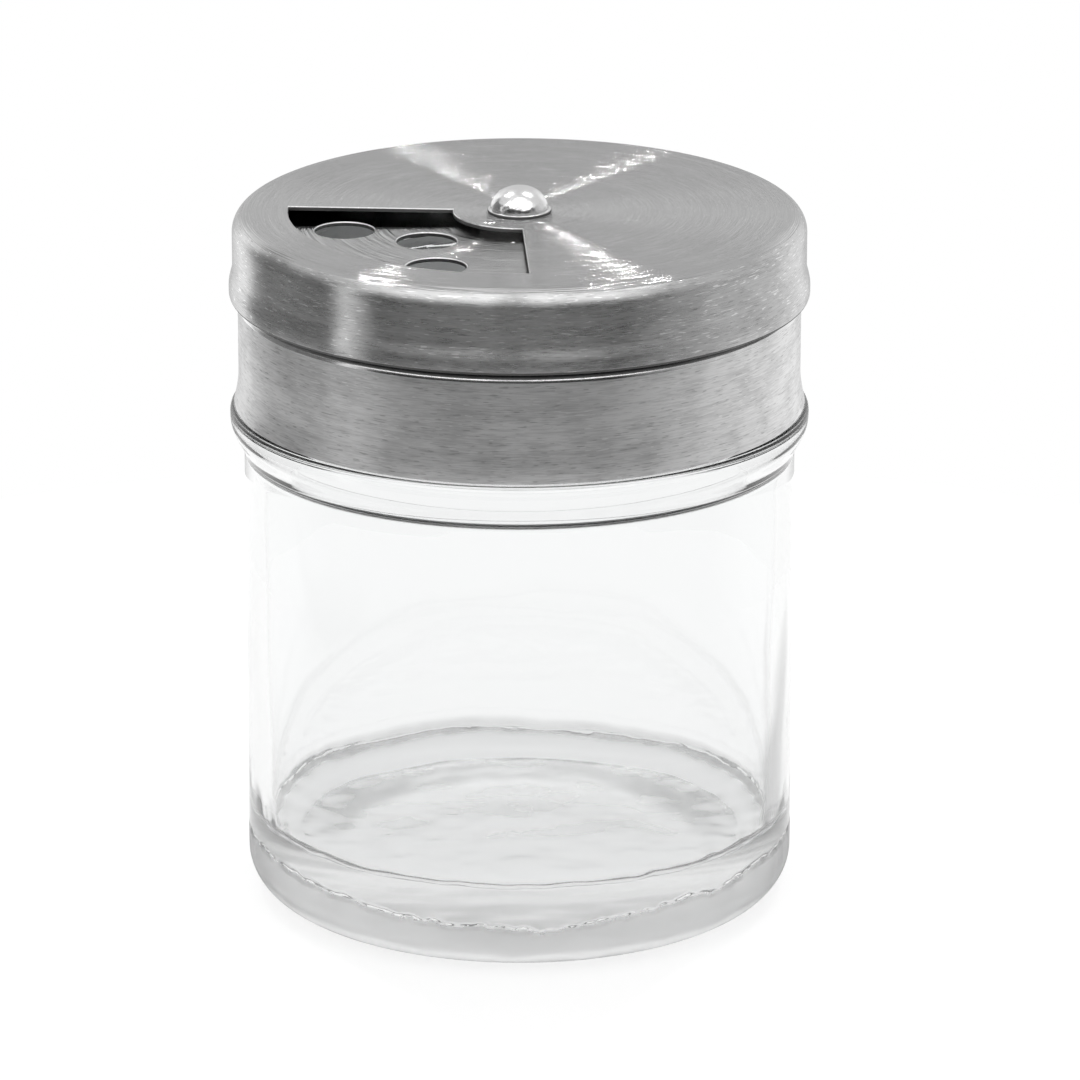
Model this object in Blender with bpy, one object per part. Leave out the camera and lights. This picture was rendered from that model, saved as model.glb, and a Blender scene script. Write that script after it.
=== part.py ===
"""Glass spice jar with a screw-on steel shaker cap and a rotating steel cover.

Metres, +Z up. The origin is the middle of the foot, on the surface that the jar
stands on, and every piece is round about the Z axis unless its comment says so.
"""

from math import cos, pi, radians, sin

import bmesh
import bpy
from mathutils import Vector

MM = 0.001

# Fits shared by all pieces
FIT_GAP = 0.3 * MM            # between pieces that rest on each other
TURN_GAP = 0.35 * MM          # between the cover and the cap that it turns on
CUT_OVERRUN = 0.6 * MM        # how far a cutter or a joined rib runs past a face
WELD_DISTANCE = 0.002 * MM    # points closer than this are one point

# Facets
SEGMENTS = 48                 # around the jar, the cap and the cover
SMALL_SEGMENTS = 20           # around the rivet and the holes
ROUND_STEPS = 4               # along a rounded edge
BLEND_STEPS = 5               # along a blended stretch
SHARP_ANGLE = radians(35)     # edges that turn more than this stay crisp

# Glass jar
JAR_RADIUS = 30.0 * MM
GLASS_WALL = 2.5 * MM
BODY_HEIGHT = 50.0 * MM       # foot to the start of the collar
FLOOR_HEIGHT = 7.5 * MM       # foot to the inside floor
FLOOR_FILLET = 2.0 * MM
PUSH_UP = 1.4 * MM            # hollow under the middle of the foot
FOOT_WIDTH = 2.2 * MM         # flat ring that the jar stands on
HEEL_RADIUS = 4.5 * MM
COLLAR_DEPTH = 1.5 * MM       # how far the collar stands out from the wall
COLLAR_FLANK = 4.2 * MM
COLLAR_LAND = 0.5 * MM
COLLAR_ROUND = 0.8 * MM
NECK_STEP = 3.7 * MM          # how far the neck stands in from the wall
NECK_HEIGHT = 17.8 * MM       # shoulder to rim
NECK_FILLET = 0.8 * MM
RIM_ROUND = 0.8 * MM
INNER_STEP_RISE = 0.4 * MM    # inside, the mouth ends in a flat step this far above the body
INNER_STEP_ROUND = 0.9 * MM

# Screw thread, right-handed with one start
THREAD_LEAD = 4.0 * MM
THREAD_DEPTH = 0.95 * MM
THREAD_GAP = 0.35 * MM        # between a crest and the root that faces it
THREAD_TURNS = 1.25
THREAD_DROP = 3.0 * MM        # rim to the upper end of the thread
THREAD_ROOT_SHARE = 0.46      # width of a rib at its root, of the lead
THREAD_CREST_SHARE = 0.24     # width of a rib at its crest, of the lead
THREAD_SEAT_GAP = 0.4 * MM    # along the axis, between ribs that press together
THREAD_FADE_TURNS = 0.08      # the rib rises out of the wall over this much turn

# Threaded liner
LINER_WALL = 1.2 * MM         # behind the thread
LINER_INSET = 2.2 * MM        # hem to the liner's lower edge
LINER_BEVEL = 0.5 * MM

# Seal
SEAL_THICKNESS = 1.2 * MM

# Shaker cap
SHEET = 0.45 * MM             # steel of the cap and of the cover
CAP_CORNER = 1.2 * MM
SHOULDER_STEP = 1.0 * MM      # the band stands out this far below the cover
STEP_FILLET = 0.3 * MM
FLARE_HEIGHT = 3.7 * MM
FLARE_DEPTH = 0.5 * MM

# Rotating cover
COVER_HEIGHT = 9.1 * MM
COVER_SPACE = 1.1 * MM        # between the cap's wall and the cover's wall
COVER_ROLL = 2.1 * MM
BULGE_DEPTH = 0.4 * MM
BULGE_HEIGHT = 2.2 * MM
BULGE_ROUND = 1.15 * MM

# Window in the cover
WINDOW_TURN = radians(225.5)  # direction of its middle
WINDOW_SPAN = radians(94)
WINDOW_INNER = 7.2 * MM
WINDOW_RIM = 6.5 * MM         # steel left outside the window
WINDOW_STEPS = 10

# Sifter holes, a quarter of the plate for each kind, and one quarter left whole
SIFTER_TURN = radians(216)    # middle of the quarter with the large holes
LARGE_HOLE = 3.25 * MM        # radius
LARGE_HOLE_OUT = 5.1 * MM     # window's inner edge to the inner hole
LARGE_HOLE_IN = 5.5 * MM      # outer holes to the window's outer edge
LARGE_HOLE_TURN = radians(26.5)
SMALL_HOLE = 1.1 * MM         # radius
SMALL_HOLE_PITCH = 4.5 * MM
SMALL_HOLE_ROWS = (2, 3, 4)
POUR_SPAN = radians(76)
POUR_LIP = 0.8 * MM           # the pouring slot is this much shorter than the window

# Rivet and its washers
PIN_RADIUS = 1.5 * MM
HEAD_RADIUS = 3.45 * MM
HEAD_HEIGHT = 2.4 * MM
HEAD_BRIM = 0.3 * MM
TAIL_RADIUS = 2.8 * MM
TAIL_THICKNESS = 0.9 * MM
TURN_WASHER_WIDTH = 2.4 * MM
TURN_WASHER_THICKNESS = 0.3 * MM
BACK_WASHER_WIDTH = 2.2 * MM
BACK_WASHER_THICKNESS = 0.5 * MM

# Radii worked out from the jar outwards
collar_radius = JAR_RADIUS + COLLAR_DEPTH
bore_radius = JAR_RADIUS - GLASS_WALL
neck_radius = JAR_RADIUS - NECK_STEP
mouth_radius = neck_radius - GLASS_WALL
liner_root = neck_radius + THREAD_DEPTH + THREAD_GAP
liner_radius = liner_root + LINER_WALL
cap_wall = liner_radius + FIT_GAP + SHEET
band_radius = cap_wall + SHOULDER_STEP
cover_radius = cap_wall + COVER_SPACE + SHEET
window_outer = cover_radius - WINDOW_RIM
pin_hole = PIN_RADIUS + FIT_GAP

# Heights worked out from the foot upwards
shoulder_z = BODY_HEIGHT + COLLAR_FLANK + COLLAR_LAND + COLLAR_ROUND
hem_z = shoulder_z + FIT_GAP
rim_z = shoulder_z + NECK_HEIGHT
seal_z = rim_z + FIT_GAP
plate_under_z = seal_z + SEAL_THICKNESS + FIT_GAP
plate_z = plate_under_z + SHEET
turn_washer_z = plate_z + FIT_GAP
cover_z = turn_washer_z + TURN_WASHER_THICKNESS + FIT_GAP + SHEET
cover_lip_z = cover_z - COVER_HEIGHT
band_top_z = cover_lip_z - TURN_GAP
back_washer_z = plate_under_z - FIT_GAP - BACK_WASHER_THICKNESS
thread_z = rim_z - THREAD_DROP - THREAD_TURNS * THREAD_LEAD


def clear_scene():
    for obj in list(bpy.data.objects):
        bpy.data.objects.remove(obj, do_unlink=True)


def arc(middle_r, middle_z, radius, start, end, steps=ROUND_STEPS):
    """Points of a round stretch; the angles are degrees, 0 outwards and 90 up."""
    angles = [radians(start + (end - start) * i / steps) for i in range(steps + 1)]
    return [(middle_r + radius * cos(a), middle_z + radius * sin(a)) for a in angles]


def blend(start, end, steps=BLEND_STEPS):
    """Points of an S-shaped stretch between two upright walls."""
    points = []
    for i in range(steps + 1):
        t = i / steps
        ease = t * t * (3 - 2 * t)
        points.append((start[0] + (end[0] - start[0]) * ease, start[1] + (end[1] - start[1]) * t))
    return points


def without_repeats(points):
    kept = []
    for r, z in points:
        if not kept or max(abs(r - kept[-1][0]), abs(z - kept[-1][1])) > WELD_DISTANCE:
            kept.append((r, z))
    return kept


def sheet_outline(points, thickness):
    """Closed outline of a bent sheet, whose outer side is given from the middle outwards."""
    outer = [Vector(p) for p in without_repeats(points)]
    inner = []
    for i, point in enumerate(outer):
        before = (point - outer[i - 1]).normalized() if i > 0 else None
        after = (outer[i + 1] - point).normalized() if i + 1 < len(outer) else None
        before, after = before or after, after or before
        side = Vector((before.y + after.y, -before.x - after.x)).normalized()
        lean = side.dot(Vector((after.y, -after.x)))
        inner.append(point + side * thickness / lean)
    return [tuple(p) for p in outer + inner[::-1]]


def mesh_object(name, bm, mat):
    bmesh.ops.recalc_face_normals(bm, faces=bm.faces)
    mesh = bpy.data.meshes.new(name)
    bm.to_mesh(mesh)
    bm.free()
    mesh.shade_smooth()
    mesh.set_sharp_from_angle(angle=SHARP_ANGLE)
    if mat is not None:
        mesh.materials.append(mat)
    obj = bpy.data.objects.new(name, mesh)
    bpy.context.scene.collection.objects.link(obj)
    return obj


def turned(name, outline, mat, segments=SEGMENTS):
    """Solid turned about Z from an outline that is closed, or ends on the axis twice."""
    outline = without_repeats(outline)
    bm = bmesh.new()
    verts = [bm.verts.new((r, 0, z)) for r, z in outline]
    edges = [bm.edges.new(pair) for pair in zip(verts, verts[1:])]
    on_axis = outline[0][0] == 0 and outline[-1][0] == 0
    if not on_axis:
        edges.append(bm.edges.new((verts[-1], verts[0])))
    bmesh.ops.spin(bm, geom=verts + edges, cent=(0, 0, 0), axis=(0, 0, 1), steps=segments, angle=2 * pi)
    bmesh.ops.remove_doubles(bm, verts=bm.verts, dist=WELD_DISTANCE)
    return mesh_object(name, bm, mat)


def prism(bm, corners, low_z, high_z):
    """Adds an upright prism over a flat outline to a mesh."""
    low = [bm.verts.new((x, y, low_z)) for x, y in corners]
    high = [bm.verts.new((x, y, high_z)) for x, y in corners]
    bm.faces.new(low[::-1])
    bm.faces.new(high)
    for i in range(len(corners)):
        j = (i + 1) % len(corners)
        bm.faces.new((low[i], low[j], high[j], high[i]))


def fan_corners(inner, outer, middle, span):
    angles = [middle + span * (i / WINDOW_STEPS - 0.5) for i in range(WINDOW_STEPS + 1)]
    near = [(inner * cos(a), inner * sin(a)) for a in angles[::2]]
    far = [(outer * cos(a), outer * sin(a)) for a in angles]
    return far + near[::-1]


def hole_corners(x, y, radius):
    turns = [2 * pi * i / SMALL_SEGMENTS for i in range(SMALL_SEGMENTS)]
    return [(x + radius * cos(a), y + radius * sin(a)) for a in turns]


def cutter(name, outlines, low_z, high_z):
    """Hidden solid of upright prisms that a Boolean takes away from a sheet."""
    bm = bmesh.new()
    for corners in outlines:
        prism(bm, corners, low_z - CUT_OVERRUN, high_z + CUT_OVERRUN)
    obj = mesh_object(name, bm, None)
    obj.hide_render = True
    obj.display_type = "WIRE"
    return obj


def combine(obj, tool, operation):
    step = obj.modifiers.new(tool.name, "BOOLEAN")
    step.operation = operation
    step.solver = "EXACT"
    step.use_self = True
    step.object = tool


def thread_rib(name, wall_radius, outwards, start_z):
    """Helical rib on a wall at wall_radius; its root is sunk behind the wall."""
    steps = round(SEGMENTS * THREAD_TURNS)
    root = THREAD_LEAD * THREAD_ROOT_SHARE / 2
    crest = THREAD_LEAD * THREAD_CREST_SHARE / 2
    # The flanks run on behind the wall at their own slope
    sunk = root + (root - crest) * CUT_OVERRUN / THREAD_DEPTH
    bm = bmesh.new()
    rings = []
    for i in range(steps + 1):
        turn = THREAD_TURNS * i / steps
        fade = min(turn, THREAD_TURNS - turn) / THREAD_FADE_TURNS
        depth = THREAD_DEPTH * min(1, fade) - CUT_OVERRUN / 2 * (1 - min(1, fade))
        angle, z = 2 * pi * turn, start_z + THREAD_LEAD * turn
        section = ((-CUT_OVERRUN, -sunk), (depth, -crest), (depth, crest), (-CUT_OVERRUN, sunk))
        ring = []
        for out, along in section:
            r = wall_radius + outwards * out
            ring.append(bm.verts.new((r * cos(angle), r * sin(angle), z + along)))
        rings.append(ring)
    for ring, following in zip(rings, rings[1:]):
        for i in range(len(ring)):
            j = (i + 1) % len(ring)
            bm.faces.new((ring[i], ring[j], following[j], following[i]))
    bm.faces.new(rings[0][::-1])
    bm.faces.new(rings[-1])
    bmesh.ops.triangulate(bm, faces=bm.faces)
    obj = mesh_object(name, bm, None)
    obj.hide_render = True
    obj.display_type = "WIRE"
    return obj


def material(name, colour, roughness, metallic=0.0, transmission=0.0):
    mat = bpy.data.materials.new(name)
    mat.use_nodes = True
    shader = mat.node_tree.nodes["Principled BSDF"]
    shader.inputs["Base Color"].default_value = (*colour, 1)
    shader.inputs["Roughness"].default_value = roughness
    shader.inputs["Metallic"].default_value = metallic
    shader.inputs["Transmission Weight"].default_value = transmission
    mat.diffuse_color = (*colour, 1)
    return mat


def make_jar():
    foot_out = JAR_RADIUS - HEEL_RADIUS
    foot_in = foot_out - FOOT_WIDTH
    hollow = [(foot_in * i / BLEND_STEPS, PUSH_UP * (1 - (i / BLEND_STEPS) ** 2)) for i in range(BLEND_STEPS)]
    land_z = BODY_HEIGHT + COLLAR_FLANK
    step_z = BODY_HEIGHT + INNER_STEP_RISE
    step_round = min(INNER_STEP_ROUND, (bore_radius - mouth_radius) / 2)
    outside = (
        hollow
        + [(foot_in, 0)]
        + arc(foot_out, HEEL_RADIUS, HEEL_RADIUS, -90, 0, BLEND_STEPS)
        + blend((JAR_RADIUS, BODY_HEIGHT), (collar_radius, land_z))
        + arc(collar_radius - COLLAR_ROUND, land_z + COLLAR_LAND, COLLAR_ROUND, 0, 90)
        + arc(neck_radius + NECK_FILLET, shoulder_z + NECK_FILLET, NECK_FILLET, 270, 180)
        + arc(neck_radius - RIM_ROUND, rim_z - RIM_ROUND, RIM_ROUND, 0, 90)
    )
    inside = (
        arc(mouth_radius + RIM_ROUND, rim_z - RIM_ROUND, RIM_ROUND, 90, 180)
        + arc(mouth_radius + step_round, step_z + step_round, step_round, 180, 270)
        + arc(bore_radius - step_round, step_z - step_round, step_round, 90, 0)
        + arc(bore_radius - FLOOR_FILLET, FLOOR_HEIGHT + FLOOR_FILLET, FLOOR_FILLET, 0, -90)
        + [(0, FLOOR_HEIGHT)]
    )
    jar = turned("glass_jar", outside + inside, material("glass", (0.95, 0.96, 0.96), 0.02, transmission=1.0))
    combine(jar, thread_rib("neck_thread", neck_radius, 1, thread_z), "UNION")


def make_liner():
    foot = hem_z + LINER_INSET
    top = plate_under_z - 2 * FIT_GAP
    ledge = band_top_z - SHEET - FIT_GAP
    skirt = band_radius - SHEET - FIT_GAP
    outline = [
        (liner_root + LINER_BEVEL, foot),
        (skirt - LINER_BEVEL, foot),
        (skirt, foot + LINER_BEVEL),
        (skirt, ledge),
        (liner_radius, ledge),
        (liner_radius, top - LINER_BEVEL),
        (liner_radius - LINER_BEVEL, top),
        (liner_root, top),
        (liner_root, foot + LINER_BEVEL),
    ]
    liner = turned("threaded_liner", outline, material("liner_plastic", (0.86, 0.87, 0.87), 0.45))
    # The liner's rib presses up against the underside of the jar's rib
    rib_width = THREAD_LEAD * (THREAD_ROOT_SHARE + THREAD_CREST_SHARE) / 2
    combine(liner, thread_rib("liner_thread", liner_root, -1, thread_z - rib_width - THREAD_SEAT_GAP), "UNION")


def make_seal():
    outer = liner_root - FIT_GAP
    inner = mouth_radius + FIT_GAP
    top = seal_z + SEAL_THICKNESS
    outline = [(inner, seal_z), (outer, seal_z), (outer, top), (inner, top)]
    turned("sealing_ring", outline, material("silicone", (0.80, 0.80, 0.79), 0.6))


def large_holes():
    outer = window_outer - LARGE_HOLE_IN
    places = (
        (WINDOW_INNER + LARGE_HOLE_OUT, SIFTER_TURN),
        (outer, SIFTER_TURN - LARGE_HOLE_TURN),
        (outer, SIFTER_TURN + LARGE_HOLE_TURN),
    )
    return [hole_corners(r * cos(a), r * sin(a), LARGE_HOLE) for r, a in places]


def small_holes():
    """Rows of holes across the quarter that comes after the large holes, clockwise."""
    turn = SIFTER_TURN - pi / 2
    along, across = Vector((cos(turn), sin(turn))), Vector((-sin(turn), cos(turn)))
    middle = (WINDOW_INNER + window_outer) / 2
    holes = []
    for row, count in enumerate(SMALL_HOLE_ROWS):
        out = middle + (row - (len(SMALL_HOLE_ROWS) - 1) / 2) * SMALL_HOLE_PITCH
        for i in range(count):
            place = along * out + across * (i - (count - 1) / 2) * SMALL_HOLE_PITCH
            holes.append(hole_corners(place.x, place.y, SMALL_HOLE))
    return holes


def make_cap():
    flare_z = hem_z + FLARE_HEIGHT
    step_round = SHOULDER_STEP - STEP_FILLET
    flare = []
    for i in range(BLEND_STEPS + 1):
        t = i / BLEND_STEPS
        flare.append((band_radius + FLARE_DEPTH * t * t, flare_z - FLARE_HEIGHT * t))
    outer_side = (
        [(pin_hole, plate_z)]
        + arc(cap_wall - CAP_CORNER, plate_z - CAP_CORNER, CAP_CORNER, 90, 0)
        + arc(cap_wall + STEP_FILLET, band_top_z + STEP_FILLET, STEP_FILLET, 180, 270)
        + arc(band_radius - step_round, band_top_z - step_round, step_round, 90, 0)
        + flare
    )
    steel = material("cap_steel", (0.60, 0.60, 0.60), 0.32, metallic=1.0)
    cap = turned("shaker_cap", sheet_outline(outer_side, SHEET), steel)
    pour = [fan_corners(WINDOW_INNER + POUR_LIP, window_outer - POUR_LIP, SIFTER_TURN - pi, POUR_SPAN)]
    for name, outlines in (
        ("large_hole_cutter", large_holes()),
        ("small_hole_cutter", small_holes()),
        ("pour_cutter", pour),
    ):
        combine(cap, cutter(name, outlines, plate_under_z, plate_z), "DIFFERENCE")


def make_cover():
    bulge_radius = cover_radius + BULGE_DEPTH
    bulge_z = cover_lip_z + BULGE_ROUND
    outer_side = (
        [(pin_hole, cover_z)]
        + arc(cover_radius - COVER_ROLL, cover_z - COVER_ROLL, COVER_ROLL, 90, 0)
        + blend((cover_radius, bulge_z + BULGE_HEIGHT), (bulge_radius, bulge_z), ROUND_STEPS)
        + arc(bulge_radius - BULGE_ROUND, bulge_z, BULGE_ROUND, 0, -90)
        + [(cap_wall + TURN_GAP, cover_lip_z)]
    )
    steel = material("cover_steel", (0.66, 0.66, 0.66), 0.28, metallic=1.0)
    cover = turned("rotating_cover", sheet_outline(outer_side, SHEET), steel)
    fan = [fan_corners(WINDOW_INNER, window_outer, WINDOW_TURN, WINDOW_SPAN)]
    combine(cover, cutter("window_cutter", fan, cover_z - SHEET, cover_z), "DIFFERENCE")


def make_rivet():
    """Domed head above the cover, pin through both plates, and a tail spread below."""
    head_z = cover_z + FIT_GAP
    tail_z = back_washer_z - FIT_GAP
    dome = []
    for i in range(2 * ROUND_STEPS):
        a = pi / 2 * (1 - i / (2 * ROUND_STEPS))
        dome.append(((HEAD_RADIUS - HEAD_BRIM) * cos(a), head_z + HEAD_BRIM + (HEAD_HEIGHT - HEAD_BRIM) * sin(a)))
    outline = (
        [(0, head_z + HEAD_HEIGHT)]
        + dome[1:]
        + [(HEAD_RADIUS, head_z + HEAD_BRIM), (HEAD_RADIUS, head_z)]
        + [(PIN_RADIUS, head_z), (PIN_RADIUS, tail_z)]
        + arc(TAIL_RADIUS - TAIL_THICKNESS, tail_z, TAIL_THICKNESS, 0, -90)
        + [(0, tail_z - TAIL_THICKNESS)]
    )
    turned("pivot_rivet", outline, material("rivet_steel", (0.80, 0.80, 0.80), 0.08, metallic=1.0), SMALL_SEGMENTS)


def make_washer(name, low_z, width, thickness, mat):
    outer = pin_hole + width
    outline = [(pin_hole, low_z), (outer, low_z), (outer, low_z + thickness), (pin_hole, low_z + thickness)]
    turned(name, outline, mat, SMALL_SEGMENTS)


def main():
    clear_scene()
    make_jar()
    make_seal()
    make_liner()
    make_cap()
    make_cover()
    make_rivet()
    nylon = material("nylon", (0.84, 0.84, 0.82), 0.5)
    washer_steel = material("washer_steel", (0.62, 0.62, 0.62), 0.3, metallic=1.0)
    make_washer("turning_washer", turn_washer_z, TURN_WASHER_WIDTH, TURN_WASHER_THICKNESS, nylon)
    make_washer("rivet_washer", back_washer_z, BACK_WASHER_WIDTH, BACK_WASHER_THICKNESS, washer_steel)


main()
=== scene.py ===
"""Dressed model of a glass spice jar with a steel shaker lid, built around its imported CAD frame.

Metres, +Z up, the jar stands on z = 0. The camera looks along +Y from above.
"""
from math import cos, exp, hypot, pi, radians, sin

import bmesh
import bpy
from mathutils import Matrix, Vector, noise


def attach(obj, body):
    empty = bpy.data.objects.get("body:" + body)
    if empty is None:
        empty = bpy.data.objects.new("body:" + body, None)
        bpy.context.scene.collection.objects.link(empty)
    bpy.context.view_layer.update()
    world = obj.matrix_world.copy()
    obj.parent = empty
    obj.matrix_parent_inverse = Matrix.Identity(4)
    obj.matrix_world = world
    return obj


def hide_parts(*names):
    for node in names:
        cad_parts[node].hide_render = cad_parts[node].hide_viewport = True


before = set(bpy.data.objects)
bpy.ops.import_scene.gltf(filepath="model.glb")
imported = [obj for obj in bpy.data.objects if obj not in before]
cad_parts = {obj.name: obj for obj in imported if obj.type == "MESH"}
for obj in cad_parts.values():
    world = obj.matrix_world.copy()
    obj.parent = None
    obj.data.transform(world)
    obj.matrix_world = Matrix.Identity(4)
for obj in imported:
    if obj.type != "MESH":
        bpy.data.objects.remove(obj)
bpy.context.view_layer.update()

MM = 0.001
WELD_DISTANCE = 0.001 * MM
SHARP_ANGLE = radians(32)

# Facets
JAR_COLUMNS = 432
COLUMNS = 288                 # around the liner and the seal
SHEET_COLUMNS = 360           # around the cap and the cover
SMALL_COLUMNS = 96            # around the rivet and the holes
ROUND_STEPS = 8
SMALL_ROUND_STEPS = 3
BLEND_STEPS = 12
HOLLOW_STEPS = 30             # across the hollow under the foot

# Glass jar
JAR_RADIUS = 30.0 * MM
GLASS_WALL = 2.5 * MM
BODY_HEIGHT = 50.0 * MM
FLOOR_HEIGHT = 7.5 * MM
FLOOR_FILLET = 1.4 * MM
FLOOR_RISE = 1.5 * MM         # the floor rises towards the wall
FLOOR_RISE_POWER = 4          # mostly near it
PUSH_UP = 1.4 * MM
FOOT_WIDTH = 2.2 * MM
HEEL_RADIUS = 4.5 * MM
COLLAR_DEPTH = 1.5 * MM
COLLAR_FLANK = 4.2 * MM
COLLAR_LAND = 0.5 * MM
COLLAR_ROUND = 0.8 * MM
NECK_STEP = 3.7 * MM
NECK_HEIGHT = 17.8 * MM
NECK_FILLET = 0.8 * MM
RIM_ROUND = 0.8 * MM
INNER_STEP_RISE = 0.4 * MM
INNER_STEP_ROUND = 0.6 * MM
WALL_ROW = 1.6 * MM           # spacing of the rows where the glass is wavy
THREAD_ROW = 0.25 * MM        # spacing of the rows across the thread
HEEL_ROW = 0.18 * MM          # spacing of the rows just above the heel

# Waviness of the moulded glass
WALL_WAVE = 0.08 * MM         # depth, inside wall
WALL_WAVE_LENGTH = 11 * MM
FLOOR_WAVE = 0.12 * MM        # depth, inside floor
FLOOR_WAVE_LENGTH = 8 * MM
EDGE_WAVE = 0.30 * MM         # depth, where the floor meets the wall
EDGE_WAVE_LENGTH = 2.6 * MM
HOLLOW_WAVE = 0.18 * MM       # depth, under the foot
HOLLOW_WAVE_LENGTH = 4 * MM
FOOT_WAVE = 0.05 * MM         # depth of the uneven ring that the jar stands on
FOOT_WAVE_LENGTH = 2.2 * MM
HEEL_MARK_Z = 5.4 * MM        # uneven line round the heel, with stippled glass below it
HEEL_MARK_RISE = 2.0 * MM     # higher at the two sides
HEEL_MARK_SWAY = 0.6 * MM
HEEL_MARK_WIDTH = 0.28 * MM
HEEL_MARK_DEPTH = 0.18 * MM
HEEL_MARK_LENGTH = 2.0 * MM
HEEL_MARK_PATCHES = 1.5       # how much its depth varies

# Screw thread, right-handed with one start
THREAD_LEAD = 4.0 * MM
THREAD_DEPTH = 0.95 * MM
THREAD_GAP = 0.35 * MM
THREAD_TURNS = 1.25
THREAD_DROP = 3.0 * MM
THREAD_ROOT_SHARE = 0.46
THREAD_CREST_SHARE = 0.24
THREAD_SEAT_GAP = 0.4 * MM
THREAD_FADE_TURNS = 0.08

# Lid
FIT_GAP = 0.3 * MM
TURN_GAP = 0.35 * MM
LINER_WALL = 1.2 * MM
LINER_INSET = 2.2 * MM
LINER_BEVEL = 0.5 * MM
SEAL_THICKNESS = 1.2 * MM
SHEET = 0.45 * MM
CAP_CORNER = 1.2 * MM
SHOULDER_STEP = 1.0 * MM
STEP_FILLET = 0.3 * MM
FLARE_HEIGHT = 3.7 * MM
FLARE_DEPTH = 0.5 * MM
COVER_HEIGHT = 9.1 * MM
COVER_SPACE = 1.1 * MM
COVER_ROLL = 2.1 * MM
BULGE_DEPTH = 0.4 * MM
BULGE_HEIGHT = 2.2 * MM
BULGE_ROUND = 1.15 * MM
LIP_ROUND = 0.45 * MM
CENTRE_DISH = 0.10 * MM       # the rivet draws the cover down around itself
CENTRE_DISH_RADIUS = 7.0 * MM
CUT_BURR = 0.10 * MM          # chamfer that the punch leaves at a cut edge

WINDOW_TURN = radians(224.5)
WINDOW_SPAN = radians(96)
WINDOW_INNER = 7.2 * MM
WINDOW_RIM = 6.5 * MM
WINDOW_STEPS = 94
WINDOW_SWAY = 0.45 * MM       # the window's outer arc isn't quite round about the middle
SIFTER_TURN = radians(216)
LARGE_HOLE = 3.25 * MM
LARGE_HOLE_OUT = 5.1 * MM
LARGE_HOLE_IN = 5.5 * MM
LARGE_HOLE_TURN = radians(26.5)
SMALL_HOLE = 1.1 * MM
SMALL_HOLE_PITCH = 4.5 * MM
SMALL_HOLE_ROWS = (2, 3, 4)
POUR_SPAN = radians(76)
POUR_LIP = 0.8 * MM
CUT_OVERRUN = 0.6 * MM
DIMPLE_OUT = 8.0 * MM         # small dent in the plate
DIMPLE_TURN = radians(265)
DIMPLE_RADIUS = 0.16 * MM
DIMPLE_DEPTH = 0.2 * MM

# Rivet and washers
PIN_RADIUS = 1.5 * MM
HEAD_RADIUS = 3.45 * MM
HEAD_HEIGHT = 2.4 * MM
HEAD_BRIM = 0.3 * MM
HEAD_SEAT = 0.02 * MM         # the head nearly touches the cover
DOME_RADIUS = 3.2 * MM
TAIL_RADIUS = 2.8 * MM
TAIL_THICKNESS = 0.9 * MM
TURN_WASHER_WIDTH = 2.4 * MM
TURN_WASHER_THICKNESS = 0.3 * MM
BACK_WASHER_WIDTH = 2.2 * MM
BACK_WASHER_THICKNESS = 0.5 * MM
WASHER_BEVEL = 0.06 * MM

# Steels brushed in circles: tone, roughness, anisotropy, contrast of the streaks, depth of the
# streaks, depth of the rings, seed
STEELS = {
    "cap_steel": (0.88, 0.46, 0.3, 0.18, 0.012 * MM, 0.0, 0.0),
    "plate_steel": (0.70, 0.11, 1.0, 0.04, 0.0, 0.07 * MM, 11.0),
    "shoulder_steel": (0.85, 0.20, 0.5, 0.15, 0.0, 0.0, 9.0),
    "cover_steel": (0.62, 0.28, 0.95, 0.18, 0.012 * MM, 0.0, 3.0),
    "cover_top_steel": (0.58, 0.11, 1.0, 0.04, 0.0, 0.09 * MM, 5.0),
    "washer_steel": (0.62, 0.3, 0.3, 0.08, 0.004 * MM, 0.0, 5.0),
}
# Noise in them: stretch along the circle, stretch across it, detail, seed
FINE_STREAKS = (16, 8000, 1.0, 0)
COARSE_STREAKS = (3, 1200, 2.0, 7)
FLECKS = (28, 8000, 0.0, 13)
FINE_RINGS = (2, 12000, 0.0, 21)
COARSE_RINGS = (4, 2600, 0.0, 33)
FINE_SHARE = 0.6              # of the streaks; the rest is coarse
COARSE_RING_SHARE = 0.75      # depth of the coarse rings by that of the fine ones
LIGHT_FLECKS = (0.69, 0.74)   # noise above the first value is a fleck, in full at the second
LIGHT_FLECK_GAIN = 3.2        # by the contrast of the streaks
DARK_FLECKS = (0.32, 0.26)
DARK_FLECK_GAIN = 1.3
BLOTCH_GRAIN = 240.0
GLOSS_SPREAD = 0.07           # share by which the roughness varies
STREAK_CORE = 0.5 * MM        # closer to the axis the streaks don't get any tighter
NOISE_LOW, NOISE_HIGH = 0.3, 0.7   # noise mostly stays between these

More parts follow.
